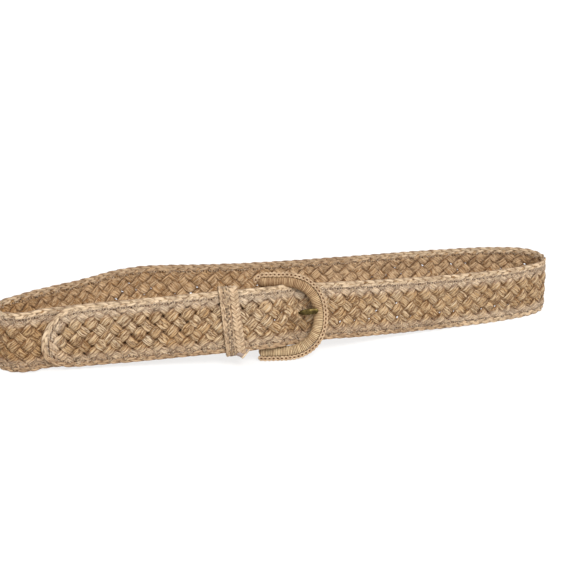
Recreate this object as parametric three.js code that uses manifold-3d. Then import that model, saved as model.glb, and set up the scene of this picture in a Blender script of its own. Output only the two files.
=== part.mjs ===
// Raffia belt, buckled into a flattened loop and standing on its lower edge.
// Millimetres, +Z up, X along the loop, the buckle on the front wall (-Y), the origin under the middle.
import * as THREE from 'three';
import { mergeVertices } from 'three/addons/utils/BufferGeometryUtils.js';
import Module from 'manifold-3d';

// Strap: a plaited panel with a braid along both edges and round the nose of the free end
const strapWidth = 44;
const freeEndWidth = 46.5;
const leftWidth = 45.8;
const windowWidth = 43.2;
const foldWidth = 43;
const widenLength = 110;
const panelThickness = 2.4;
const panelCut = 0.4;
const braidWidth = 4.2;
const braidThickness = 3;
const braidCut = 0.9;
const gap = 0.3;
const layerPitch = braidThickness + 0.4;
const noseLength = 30;
const noseDrop = 6;
const foldBackRows = 3;

// Buckle: a D frame bound with raffia, a trim round it, and a bar hidden under the free end
const buckleTurn = -9;
const buckleLean = 18;
const barRadius = 1.6;
const barPlay = 0.9;
const frameHalfHeight = 25.8;
const frameStraight = 13.8;
const frameReach = 26.6;
const frameFullness = 2.25;
const frameEndTurns = [70, 50, 28, 0];
const frameWidth = 7.2;
const frameThickness = 5.5;
const frameCut = 1.7;
const trimWidth = 3.4;
const trimThickness = 1.6;
const trimCut = 0.35;
const trimCurl = [175, 146, 117, 88];
const trimCurlCentre = -1.2;

// Prong: an eye round the bar and a tongue that bends out through the strap on to the frame
const prongWidth = 3.8;
const prongThickness = 2;
const prongCut = 0.35;
const prongSlotGap = 0.6;
const prongRise = 0.5 * frameThickness + gap + 0.5 * prongThickness;
const prongHeight = 4.2;
const prongShort = 0.4;
const prongTipLength = 7.5;
const prongBendFrom = 0.55;
const prongBendTo = 0.72;
const prongTip = [{ left: 1.9, taper: 1 }, { left: 0.7, taper: 0.8 }, { left: 0, taper: 0.45 }];

// Keeper: a braided loop round all the layers
const keeperFromBar = 26;
const keeperWidth = 13.2;
const keeperThickness = 2.2;
const keeperCorner = 2.4;
const keeperSlant = 6.2;
const keeperPlay = 1.7;
const keeperDrop = 1.8;
const keeperSkew = 12;
const skewLength = 8;

// How finely the curves are cut
const rowSteps = 2;
const bendSteps = 8;
const noseSteps = 16;
const archSteps = 26;
const tongueSteps = 12;
const keeperSteps = 8;

// Middle line of the free end from the bar to its tip; the two layers behind it follow the same rows
const overlapRows = [
  { x: -28.6, y: -37.6, lift: 11.8, lean: 18 },
  { x: -45, y: -36.8, lift: 11.3, lean: 18.5 },
  { x: -62, y: -34.4, lift: 10.2, lean: 19 },
  { x: -80, y: -31.4, lift: 8.7, lean: 18.5 },
  { x: -98, y: -28.2, lift: 6.9, lean: 18 },
  { x: -116, y: -25.4, lift: 5.2, lean: 16.5 },
  { x: -134, y: -23.2, lift: 3.8, lean: 14 },
  { x: -152, y: -21.9, lift: 2.8, lean: 11 },
  { x: -170, y: -21.6, lift: 2.2, lean: 8 },
  { x: -182, y: -22, lift: 1.9, lean: 6.5 },
  { x: -191, y: -22.7, lift: 1.8, lean: 5.5 },
];

// The rest of the loop: left bend, back wall, right bend, and the front wall up to the buckle
const loopRows = [
  { x: -199, y: -20.8, lift: 1.2, lean: 5.2, width: leftWidth },
  { x: -206.8, y: -20.4, lift: 0.7, lean: 4.8, width: leftWidth },
  { x: -214, y: -17.6, lift: 0.3, lean: 4, width: leftWidth },
  { x: -219.8, y: -12.4, lift: 0.1, lean: 3, width: leftWidth },
  { x: -223, y: -5.2, lift: 0.1, lean: 2, width: leftWidth - 0.4 },
  { x: -223.4, y: 2.8, lift: 0.1, lean: 1, width: leftWidth - 0.8 },
  { x: -220.4, y: 10.2, lift: 0, lean: 0 },
  { x: -214, y: 15.8, lift: 0, lean: 0 },
  { x: -204.5, y: 21, lift: 0, lean: 0 },
  { x: -192, y: 27.6, lift: 0, lean: 0 },
  { x: -177, y: 34, lift: 0, lean: 0 },
  { x: -162, y: 39.4, lift: 0, lean: 0 },
  { x: -147, y: 46, lift: 0, lean: 0 },
  { x: -133, y: 53.4, lift: 0, lean: 0 },
  { x: -118, y: 59, lift: 0, lean: 0 },
  { x: -101, y: 60.8, lift: 0, lean: 0 },
  { x: -82, y: 58.6, lift: 0, lean: 0 },
  { x: -60, y: 54.8, lift: 0, lean: 0 },
  { x: -36, y: 51.9, lift: 0, lean: 0 },
  { x: -12, y: 50, lift: 0, lean: 0 },
  { x: 12, y: 49, lift: 0, lean: 0 },
  { x: 36, y: 48.6, lift: 0, lean: 0 },
  { x: 62, y: 48.4, lift: 0, lean: 0 },
  { x: 88, y: 48.4, lift: 0, lean: 0 },
  { x: 114, y: 48.5, lift: 0, lean: 0 },
  { x: 139, y: 48.2, lift: 0, lean: 0 },
  { x: 161, y: 47.2, lift: 0, lean: 0 },
  { x: 180, y: 45.6, lift: 0, lean: 0 },
  { x: 194.5, y: 43, lift: 0, lean: 0 },
  { x: 206.4, y: 40, lift: 0, lean: 0 },
  { x: 215.4, y: 34, lift: 0.1, lean: 0.8 },
  { x: 220.8, y: 25.6, lift: 0.1, lean: 1.6 },
  { x: 221.6, y: 16.4, lift: 0.1, lean: 2.2 },
  { x: 218, y: 8.2, lift: 0.1, lean: 2.6 },
  { x: 209.6, y: 2, lift: 0.1, lean: 3 },
  { x: 196.6, y: -2.2, lift: 0.1, lean: 4 },
  { x: 180, y: -5.4, lift: 0.1, lean: 4 },
  { x: 159, y: -8.4, lift: 0.4, lean: 4.5 },
  { x: 136, y: -11.1, lift: 1, lean: 5.5 },
  { x: 112, y: -13.9, lift: 2, lean: 7 },
  { x: 88, y: -17, lift: 3.6, lean: 9.5 },
  { x: 65, y: -20.8, lift: 5.6, lean: 12 },
  { x: 45, y: -24.6, lift: 7.8, lean: 14.5 },
  { x: 28, y: -27.2, lift: 9.6, lean: 16 },
  { x: 15, y: -28.5, lift: 10.4, lean: 17 },
  { x: 5, y: -29.2, lift: 10.4, lean: 17.5, width: windowWidth },
  { x: -2, y: -30.1, lift: 10.4, lean: 18, width: windowWidth },
  { x: -8, y: -32.1, lift: 10.8, lean: 18, width: windowWidth },
  { x: -14, y: -34.8, lift: 11.7, lean: 18, width: windowWidth + 0.2 },
  { x: -21, y: -36.9, lift: 12, lean: 18, width: strapWidth + 0.6 },
];

const degree = Math.PI / 180;
const yAxis = new THREE.Vector3(0, 1, 0);
const zAxis = new THREE.Vector3(0, 0, 1);

// Value of one column between rows i and i + 1, on the smooth curve through the rows
function smooth(rows, column, i, f) {
  const at = (k) => rows[Math.min(Math.max(k, 0), rows.length - 1)][column];
  const [a, b, c, d] = [at(i - 1), at(i), at(i + 1), at(i + 2)];
  const bend = 2 * a - 5 * b + 4 * c - d + (3 * b - a - 3 * c + d) * f;
  return b + 0.5 * f * (c - a + f * bend);
}

// Rows with extra ones between them
function refine(rows, steps) {
  const fine = [];
  for (let i = 0; i < rows.length - 1; i += 1) {
    for (let k = 0; k < steps; k += 1) {
      const row = {};
      for (const column of ['x', 'y', 'lift', 'lean', 'width']) {
        row[column] = smooth(rows, column, i, k / steps);
      }
      fine.push(row);
    }
  }
  fine.push({ ...rows[rows.length - 1] });
  return fine;
}

// Middle point, upward direction and half width of the strap at each row
function standUp(rows) {
  return rows.map((row, i) => {
    const before = rows[Math.max(i - 1, 0)];
    const after = rows[Math.min(i + 1, rows.length - 1)];
    const run = new THREE.Vector3(after.x - before.x, after.y - before.y, 0).normalize();
    const outward = new THREE.Vector3().crossVectors(zAxis, run);
    const up = zAxis.clone().multiplyScalar(Math.cos(row.lean * degree));
    up.addScaledVector(outward, -Math.sin(row.lean * degree));
    const height = row.lift + 0.5 * row.width * Math.cos(row.lean * degree);
    return { middle: new THREE.Vector3(row.x, row.y, height), up, half: 0.5 * row.width };
  });
}

// Running length, direction and outward normal of each frame
function measure(frames) {
  let length = 0;
  return frames.map((frame, i) => {
    const before = frames[Math.max(i - 1, 0)].middle;
    const after = frames[Math.min(i + 1, frames.length - 1)].middle;
    const run = new THREE.Vector3().subVectors(after, before).normalize();
    const normal = new THREE.Vector3().crossVectors(frame.up, run).normalize();
    if (i > 0) length += frame.middle.distanceTo(before);
    return { ...frame, run, normal, length };
  });
}

// Frames moved along their normals, with a width that depends on the running length
function layerOf(frames, offset, widthAt) {
  return frames.map((frame) => ({
    middle: frame.middle.clone().addScaledVector(frame.normal, offset),
    up: frame.up,
    half: 0.5 * widthAt(frame.length),
  }));
}

// The strap's bend round the bar, from the turned-back side to the front one
function barBend(front, across, along, centre, radius) {
  const bend = [];
  for (let k = 1; k < bendSteps; k += 1) {
    const angle = (k / bendSteps) * Math.PI;
    const middle = centre.clone().addScaledVector(across, -Math.cos(angle) * radius);
    middle.addScaledVector(along, -Math.sin(angle) * radius);
    bend.push({ middle, up: front.up, half: front.half });
  }
  return bend;
}

// The strap's end behind the bar: as far back as the bend at first, then close to the layer before it
function turnedBack(overlap, bendRadius, widthAt) {
  const turned = [];
  const closeRows = 3;
  for (let i = (foldBackRows - 1) * rowSteps; i >= 0; i -= 1) {
    const { middle, normal, up, length } = overlap[i];
    const share = Math.max(0, 1 - i / closeRows);
    const spread = (2 * bendRadius - layerPitch) * share * share * (3 - 2 * share);
    const place = middle.clone().addScaledVector(normal, -2 * layerPitch - spread);
    turned.push({ middle: place, up, half: 0.5 * widthAt(length) });
  }
  return turned;
}

// The whole strap as one list: turned-back end, bend round the bar, hidden layer, loop, free end
function strapFrames() {
  const shared = overlapRows.map((row) => ({ ...row, width: freeEndWidth }));
  const overlap = measure(standUp(refine(shared, rowSteps)));
  const widthAt = (length) => THREE.MathUtils.lerp(foldWidth, leftWidth, Math.min(length / widenLength, 1));
  const hidden = layerOf(overlap, -layerPitch, widthAt);
  const bendRadius = barRadius + barPlay + 0.5 * braidThickness;
  const { normal: across, run: along } = overlap[0];
  const centre = hidden[0].middle.clone().addScaledVector(across, -bendRadius);
  const last = hidden[hidden.length - 1];
  const { lean } = overlapRows[overlapRows.length - 1];
  const lift = last.middle.z - last.half * Math.cos(lean * degree);
  const first = { x: last.middle.x, y: last.middle.y, lift, lean, width: leftWidth };
  const end = { ...overlapRows[0], width: freeEndWidth };
  const loop = [first, ...loopRows.map((row) => ({ width: strapWidth, ...row })), end];
  const parts = [
    turnedBack(overlap, bendRadius, widthAt),
    barBend(hidden[0], across, along, centre, bendRadius),
    hidden,
    standUp(refine(loop, rowSteps)).slice(1, -1),
    layerOf(overlap, 0, () => freeEndWidth),
  ];
  return { frames: measure(parts.flat()), bar: centre, freeEnd: overlap.length };
}

const { frames: strap, bar: barCentre, freeEnd } = strapFrames();
const strapLength = strap[strap.length - 1].length;

// Place on the strap: running length, distance above the middle line, distance out of the surface
function onStrap(length, height, depth) {
  let i = 0;
  while (i < strap.length - 2 && strap[i + 1].length < length) i += 1;
  const f = (length - strap[i].length) / (strap[i + 1].length - strap[i].length);
  const up = strap[i].up.clone().lerp(strap[i + 1].up, f).normalize();
  const normal = strap[i].normal.clone().lerp(strap[i + 1].normal, f).normalize();
  const point = strap[i].middle.clone().lerp(strap[i + 1].middle, f);
  const half = THREE.MathUtils.lerp(strap[i].half, strap[i + 1].half, f);
  point.addScaledVector(up, height).addScaledVector(normal, depth);
  return { point, up, normal, half };
}

// Closed body through a list of rings, with flat ends, or joined into a loop
function loft(rings, joined = false) {
  const sides = rings[0].length;
  const points = rings.flat().flatMap((point) => [point.x, point.y, point.z]);
  const index = [];
  const last = joined ? rings.length : rings.length - 1;
  for (let i = 0; i < last; i += 1) {
    const a = i * sides;
    const b = ((i + 1) % rings.length) * sides;
    for (let k = 0; k < sides; k += 1) {
      const n = (k + 1) % sides;
      index.push(a + k, a + n, b + n, a + k, b + n, b + k);
    }
  }
  if (!joined) {
    const far = (rings.length - 1) * sides;
    for (let k = 1; k < sides - 1; k += 1) {
      index.push(0, k + 1, k, far, far + k, far + k + 1);
    }
  }
  const geometry = new THREE.BufferGeometry();
  geometry.setAttribute('position', new THREE.Float32BufferAttribute(points, 3));
  geometry.setIndex(index);
  return geometry;
}

const wasm = await Module();
wasm.setup();

function toSolid(geometry) {
  const plain = geometry.clone();
  plain.deleteAttribute('normal');
  plain.deleteAttribute('uv');
  const merged = mergeVertices(plain, 1e-4);
  const vertProperties = new Float32Array(merged.attributes.position.array);
  const triVerts = new Uint32Array(merged.index.array);
  return new wasm.Manifold(new wasm.Mesh({ numProp: 3, vertProperties, triVerts }));
}

function toGeometry(solid) {
  const mesh = solid.getMesh();
  const geometry = new THREE.BufferGeometry();
  geometry.setAttribute('position', new THREE.Float32BufferAttribute(mesh.vertProperties, 3));
  geometry.setIndex([...mesh.triVerts]);
  return geometry;
}

// Rectangle with cut corners round a point, turning from a towards b
function section(centre, a, halfA, b, halfB, cut) {
  const innerA = halfA - cut;
  const innerB = halfB - cut;
  const right = [[halfA, -innerB], [halfA, innerB], [innerA, halfB], [-innerA, halfB]];
  const corners = [...right, ...right.map(([p, q]) => [-p, -q])];
  return corners.map(([p, q]) => centre.clone().addScaledVector(a, p).addScaledVector(b, q));
}

// How far along the nose of the free end a place is, from 0 at its start to 1 at its tip
function noseShare(length, inset) {
  const into = length - (strapLength - noseLength);
  return Math.min(Math.max(into / (noseLength - inset), 0), 1);
}

// Plaited middle of the strap, between the two edge braids
function strapPanel() {
  const inset = braidWidth + gap;
  const noseStart = strapLength - noseLength;
  const places = strap.map((frame) => frame.length).filter((length) => length < noseStart);
  const tipGap = 0.4;
  for (let k = 0; k <= noseSteps; k += 2) {
    places.push(noseStart + (noseLength - inset - tipGap) * Math.sin((k / noseSteps) * 0.5 * Math.PI));
  }
  const rings = places.map((length) => {
    const share = noseShare(length, inset);
    const { point, up, normal, half } = onStrap(length, -noseDrop * share * share, 0);
    const height = (half - inset) * Math.sqrt(1 - share * share);
    return section(point, normal, 0.5 * panelThickness, up, height, Math.min(panelCut, 0.5 * height));
  });
  return loft(rings);
}

// Braided border: along the top edge, round the nose and back along the lower edge
function edgeBraid() {
  const inset = 0.5 * braidWidth;
  const noseStart = strapLength - noseLength;
  const straight = strap.map((frame) => frame.length).filter((length) => length < noseStart - 2);
  const route = straight.map((length) => [length, 1]);
  for (let k = 0; k <= noseSteps; k += 1) {
    const angle = (k / noseSteps) * Math.PI;
    route.push([noseStart + (noseLength - inset) * Math.sin(angle), Math.cos(angle), Math.sin(angle) ** 2]);
  }
  route.push(...straight.reverse().map((length) => [length, -1]));
  const places = route.map(([length, share, drop = 0]) => {
    const { half } = onStrap(length, 0, 0);
    return onStrap(length, share * (half - inset) - noseDrop * drop, 0);
  });
  const rings = places.map((place, i) => {
    const before = places[Math.max(i - 1, 0)].point;
    const after = places[Math.min(i + 1, places.length - 1)].point;
    const run = new THREE.Vector3().subVectors(after, before).normalize();
    const side = new THREE.Vector3().crossVectors(run, place.normal).normalize();
    return section(place.point, place.normal, 0.5 * braidThickness, side, 0.5 * braidWidth, braidCut);
  });
  return loft(rings);
}

// Line round the D at a distance outside its middle line, from the top end to the lower end
function archLine(offset) {
  const half = frameHalfHeight + offset;
  const points = [[0, half], [0.5 * frameStraight, half]];
  for (let k = 0; k <= archSteps; k += 1) {
    const angle = (0.5 - k / archSteps) * Math.PI;
    const bulge = 2 / frameFullness;
    const u = (frameReach + offset) * Math.abs(Math.cos(angle)) ** bulge;
    const v = half * Math.abs(Math.sin(angle)) ** bulge * Math.sign(Math.sin(angle));
    points.push([frameStraight + u, v]);
  }
  points.push([0.5 * frameStraight, -half], [0, -half]);
  return points;
}

// Bar of octagon section along a flat line, thinner where its points have a taper
function flatSweep(line, through, halfWidth, halfThickness, cut, tapers = []) {
  const rings = line.map((point, i) => {
    const before = line[Math.max(i - 1, 0)];
    const after = line[Math.min(i + 1, line.length - 1)];
    const run = new THREE.Vector3().subVectors(after, before).normalize();
    const side = new THREE.Vector3().crossVectors(run, through);
    const taper = tapers[i] ?? 1;
    return section(point, through, halfThickness * taper, side, halfWidth * taper, cut * taper);
  });
  return loft(rings);
}

// Frame with domed ends, round the same centres as the curls of the trim
function buckleFrame() {
  const half = frameHalfHeight;
  const dome = frameEndTurns.map((turn) => [
    trimCurlCentre - 0.5 * frameWidth * Math.sin(turn * degree),
    half,
  ]);
  const tapers = frameEndTurns.map((turn) => Math.cos(turn * degree));
  const arch = archLine(0);
  const points = [...dome, ...arch, ...[...dome].reverse().map(([u]) => [u, -half])];
  const line = points.map(([u, v]) => new THREE.Vector3(u, 0, v));
  const allTapers = [...tapers, ...arch.map(() => 1), ...[...tapers].reverse()];
  return flatSweep(line, yAxis, 0.5 * frameWidth, 0.5 * frameThickness, frameCut, allTapers);
}

// Trim outside the frame, its ends curled round the ends of the frame
function frameTrim() {
  const offset = 0.5 * frameWidth + gap + 0.5 * trimWidth;
  const curl = trimCurl.map((angle) => [
    trimCurlCentre + offset * Math.cos(angle * degree),
    frameHalfHeight + offset * Math.sin(angle * degree),
  ]);
  const points = [...curl, ...archLine(offset), ...curl.reverse().map(([u, v]) => [u, -v])];
  const line = points.map(([u, v]) => new THREE.Vector3(u, 0, v));
  return flatSweep(line, yAxis, 0.5 * trimWidth, 0.5 * trimThickness, trimCut);
}

// Hidden straight side of the frame, which the strap turns round
function heelBar() {
  const length = 2 * (frameHalfHeight - 0.5 * frameWidth - gap);
  return new THREE.CylinderGeometry(barRadius, barRadius, length, 12).rotateX(0.5 * Math.PI);
}

// Prong as a solid, thicker all round by some spare where it is used to cut its slot
function prongSolid(spare = 0) {
  const reach = frameStraight + frameReach - prongShort;
  const flat = new THREE.Vector3(reach - prongTipLength, -prongRise, 0);
  const tongue = new THREE.CubicBezierCurve3(
    new THREE.Vector3(0, 0, 0),
    new THREE.Vector3(prongBendFrom * reach, 0, 0),
    new THREE.Vector3(prongBendTo * reach, -prongRise, 0),
    flat,
  );
  const curved = tongue.getPoints(tongueSteps);
  const tip = prongTip.map(({ left }) => new THREE.Vector3(reach - left, -prongRise, 0));
  const tapers = [...curved.map(() => 1), ...prongTip.map(({ taper }) => taper)];
  const halfThickness = 0.5 * prongThickness + spare;
  const halfWidth = 0.5 * prongWidth + spare;
  const bar = toSolid(flatSweep([...curved, ...tip], zAxis, halfThickness, halfWidth, prongCut, tapers));
  const eyeRadius = barRadius + gap + prongThickness + spare;
  const eye = new THREE.CylinderGeometry(eyeRadius, eyeRadius, 2 * halfWidth, 20).rotateX(0.5 * Math.PI);
  const bore = new THREE.CylinderGeometry(barRadius + gap, barRadius + gap, 4 * halfWidth, 20);
  const whole = bar.add(toSolid(eye));
  const bored = spare > 0 ? whole : whole.subtract(toSolid(bore.rotateX(0.5 * Math.PI)));
  return bored.translate([0, 0, prongHeight]);
}

// Line of the keeper's loop: height and depth from the middle of the layers it goes round
function keeperLine(top, low, inner, outer) {
  const line = [];
  const corner = (t, n, from) => {
    for (let k = 0; k <= 3; k += 1) {
      const angle = (from - (k / 3) * 90) * degree;
      line.push([t + keeperCorner * Math.sin(angle), n + keeperCorner * Math.cos(angle)]);
    }
  };
  const side = (from, to, n) => {
    for (let k = 1; k < keeperSteps; k += 1) line.push([from + (k / keeperSteps) * (to - from), n]);
  };
  corner(top, inner, 180);
  corner(top, outer, 90);
  side(top, low, outer + keeperCorner);
  corner(low, outer, 0);
  corner(low, inner, -90);
  side(low, top, inner - keeperCorner);
  return line;
}

// Keeper: a band in a loose loop round the three layers, hanging a little below them
function keeper() {
  const place = strap[strap.length - freeEnd].length + keeperFromBar;
  const middle = onStrap(place, 0, -layerPitch);
  const clear = 0.5 * (braidThickness + keeperThickness) + gap;
  const outer = layerPitch + clear - keeperCorner;
  const inner = -layerPitch - clear - keeperPlay + keeperCorner;
  const top = middle.half + 0.5 * keeperThickness + gap - keeperCorner;
  const line = keeperLine(top, -top - keeperDrop, inner, outer);
  const along = new THREE.Vector3().crossVectors(middle.up, middle.normal);
  const rings = line.map(([t, n], i) => {
    const [t0, n0] = line[(i + line.length - 1) % line.length];
    const [t1, n1] = line[(i + 1) % line.length];
    const run = middle.up.clone().multiplyScalar(t1 - t0).addScaledVector(middle.normal, n1 - n0);
    const out = new THREE.Vector3().crossVectors(along, run).normalize();
    const centre = middle.point.clone().addScaledVector(middle.up, t).addScaledVector(middle.normal, n);
    centre.addScaledVector(along, -Math.tan(keeperSlant * degree) * t);
    const low = Math.max(0, (0.5 * skewLength - t - middle.half) / skewLength);
    const skewed = along.clone().addScaledVector(middle.up, -Math.tan(keeperSkew * degree) * low);
    return section(centre, out, 0.5 * keeperThickness, skewed, 0.5 * keeperWidth, panelCut);
  });
  return loft(rings, true);
}

const raffia = new THREE.MeshStandardMaterial({ color: 0xab8f6c, roughness: 0.85, metalness: 0 });
const paleRaffia = new THREE.MeshStandardMaterial({ color: 0xbda486, roughness: 0.8, metalness: 0 });
const boundRaffia = new THREE.MeshStandardMaterial({ color: 0xb2997b, roughness: 0.75, metalness: 0 });
const steel = new THREE.MeshStandardMaterial({ color: 0x8b8880, roughness: 0.45, metalness: 1 });
const agedBrass = new THREE.MeshStandardMaterial({ color: 0x6b5a36, roughness: 0.5, metalness: 1 });

function named(name, geometry, material) {
  const mesh = new THREE.Mesh(geometry, material);
  mesh.name = name;
  return mesh;
}

const belt = new THREE.Group();

// The buckle has its own frame: x across the opening, y into the loop, z along the bar
const buckle = new THREE.Group();
buckle.position.copy(barCentre);
buckle.rotation.set(-buckleLean * degree, 0, buckleTurn * degree, 'ZYX');
buckle.add(named('buckle_frame', buckleFrame(), boundRaffia));
buckle.add(named('frame_trim', frameTrim(), paleRaffia));
buckle.add(named('heel_bar', heelBar(), steel));
buckle.add(named('prong', toGeometry(prongSolid()), agedBrass));
buckle.updateMatrixWorld(true);

// The prong pushes the plait apart where it crosses it, and the bend round the bar has a slot for it
const slot = toGeometry(prongSolid(prongSlotGap)).applyMatrix4(buckle.matrixWorld);
const panel = toGeometry(toSolid(strapPanel()).subtract(toSolid(slot)));

belt.add(named('strap_panel', panel, raffia));
belt.add(named('edge_braid', edgeBraid(), paleRaffia));
belt.add(named('keeper', keeper(), paleRaffia));
belt.add(buckle);

// The belt stands on z = 0, with the middle of its box over the origin
const box = new THREE.Box3().setFromObject(belt, true);
const boxMiddle = box.getCenter(new THREE.Vector3());
belt.position.set(-boxMiddle.x, -boxMiddle.y, -box.min.z);

export default belt;
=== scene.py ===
# Raffia belt, buckled into a flattened loop: the plait, braids, stitches, bound buckle and prong.
# Metres, +Z up; lengths are in millimetres until the meshes are built.
import bpy
import numpy as np
from functools import partial
from math import cos, pi, radians, sin, tan, tanh
from mathutils import Matrix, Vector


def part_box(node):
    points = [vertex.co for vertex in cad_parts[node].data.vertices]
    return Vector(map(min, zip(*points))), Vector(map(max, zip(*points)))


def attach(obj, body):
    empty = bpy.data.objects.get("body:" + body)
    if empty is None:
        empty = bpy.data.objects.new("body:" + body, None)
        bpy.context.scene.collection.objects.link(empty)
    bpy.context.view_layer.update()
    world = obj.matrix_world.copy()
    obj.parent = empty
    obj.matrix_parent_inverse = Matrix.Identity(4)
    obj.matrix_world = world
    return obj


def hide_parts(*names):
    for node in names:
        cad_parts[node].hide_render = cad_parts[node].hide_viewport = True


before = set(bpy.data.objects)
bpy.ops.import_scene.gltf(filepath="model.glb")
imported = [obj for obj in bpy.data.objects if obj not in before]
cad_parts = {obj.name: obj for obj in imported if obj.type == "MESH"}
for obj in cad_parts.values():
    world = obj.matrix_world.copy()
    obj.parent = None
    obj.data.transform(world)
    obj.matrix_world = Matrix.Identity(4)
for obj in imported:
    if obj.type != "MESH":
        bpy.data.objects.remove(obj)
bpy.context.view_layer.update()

mm = 0.001
chance = np.random.default_rng(11)

# Strap sizes in millimetres
strap = {
    "width": 44.0, "freeEndWidth": 46.5,
    "leftWidths": [45.8, 45.8, 45.8, 45.8, 45.4, 45.0],  # the loop's first rows
    "windowWidths": [44.2, 45.7, 46.4, 46.2, 46.2],  # and its last ones, behind the buckle
    "foldWidth": 43.0, "widenLength": 110.0, "layerPitch": 3.4,
    "bendRadius": 4.0,  # bar radius, its play and half the strap
    "foldBackRows": 3, "closeRows": 1.5, "noseLength": 26.5, "noseDrop": 6.0, "stepsPerRow": 6,
    "bendSteps": 24,
}

# x, y, lift, lean: the free end from the bar to its tip
overlapRows = [
    (-28.6, -37.6, 11.8, 18), (-45, -36.8, 11.3, 18.5), (-62, -34.4, 10.2, 19), (-80, -31.4, 8.7, 18.5),
    (-98, -28.2, 6.9, 18), (-116, -25.4, 5.2, 16.5), (-134, -23.2, 3.8, 14), (-152, -21.9, 2.8, 11),
    (-170, -21.6, 2.2, 8), (-182, -22, 1.9, 6.5), (-193.2, -22.9, 1.8, 5.3),
]

# x, y, lift, lean: left bend, back wall, right bend, and the front wall up to the buckle
loopRows = [
    (-199, -20.8, 1.2, 5.2), (-206.8, -20.4, 0.7, 4.8), (-214, -17.6, 0.3, 4), (-219.8, -12.4, 0.1, 3),
    (-223, -5.2, 0.1, 2), (-223.4, 2.8, 0.1, 1), (-220.4, 10.2, 0, 0), (-214, 15.8, 0, 0),
    (-204.5, 21, 0, 0), (-192, 27.6, 0, 0), (-177, 34, 0, 0), (-162, 39.4, 0, 0),
    (-147, 46, 0, 0), (-133, 53.4, 0, 0), (-118, 59, 0, 0), (-101, 60.8, 0, 0),
    (-82, 58.6, 0, 0), (-60, 54.8, 0, 0), (-36, 51.9, 0, 0), (-12, 50, 0, 0),
    (12, 49, 0, 0), (36, 48.6, 0, 0), (62, 48.4, 0, 0), (88, 48.4, 0, 0),
    (114, 48.5, 0, 0), (139, 48.2, 0, 0), (161, 47.2, 0, 0), (180, 45.6, 0, 0),
    (194.5, 43, 0, 0), (206.4, 40, 0, 0), (215.4, 34, 0.1, 0.8), (220.8, 25.6, 0.1, 1.6),
    (221.6, 16.4, 0.1, 2.2), (218, 8.2, 0.1, 2.6), (209.6, 2, 0.1, 3), (196.6, -2.2, 0.1, 4),
    (180, -5.4, 0.1, 4), (159, -8.4, 0.4, 4.5), (136, -11.1, 1, 5.5), (112, -13.9, 2, 7),
    (88, -17, 3.6, 9.5), (65, -20.8, 5.6, 12), (45, -24.6, 7.8, 14.5), (28, -27.2, 9.6, 16),
    (15, -28.5, 10.4, 17), (5, -29.2, 10.4, 17.5), (-2, -30.1, 10.4, 18), (-8, -32.1, 10.8, 18),
    (-14, -34.8, 11.7, 18), (-21, -36.9, 12, 18),
]


def unit(v):
    return v / np.linalg.norm(v, axis=-1, keepdims=True)


def clipped(share):
    return np.clip(share, 0, 1)


def ease(share):
    return share * share * (3 - 2 * share)


def heading(line):
    return unit(np.gradient(line, axis=0))


def summed(steps):
    return np.concatenate([[0], np.cumsum(steps)])


def lengthAlong(line):
    return summed(np.linalg.norm(np.diff(line, axis=0), axis=1))


def readAt(places, length, column):
    # a column's values, or each of its coordinates, at places along a length
    if column.ndim == 1:
        return np.interp(places, length, column)
    return np.stack([np.interp(places, length, c) for c in column.T], -1)


def refineRows(rows):
    # smooth curve through the rows, every column alike
    rows = np.asarray(rows, float)
    padded = np.vstack([rows[:1], rows, rows[-1:]])
    fine = []
    for i in range(len(rows) - 1):
        a, b, c, d = padded[i:i + 4]
        for k in range(strap["stepsPerRow"]):
            f = k / strap["stepsPerRow"]
            bend = 2 * a - 5 * b + 4 * c - d + (3 * b - a - 3 * c + d) * f
            fine.append(b + 0.5 * f * (c - a + f * bend))
    fine.append(rows[-1])
    return np.array(fine)


def standUp(rows):
    # middle, upward direction and half width at each row of x, y, lift, lean, width
    x, y, lift, leanDegrees, width = rows.T
    lean = np.radians(leanDegrees)
    run = heading(np.stack([x, y], 1))
    outward = np.stack([-run[:, 1], run[:, 0], 0 * x], 1)
    up = np.cos(lean)[:, None] * np.array([0, 0, 1.0]) - np.sin(lean)[:, None] * outward
    middle = np.stack([x, y, lift + 0.5 * width * np.cos(lean)], 1)
    return middle, up, 0.5 * width


def outwardNormals(middle, up):
    return unit(np.cross(up, heading(middle)))


def hiddenWidths(length):
    share = clipped(length / strap["widenLength"])
    return strap["foldWidth"] + (strap["leftWidths"][0] - strap["foldWidth"]) * share


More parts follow.
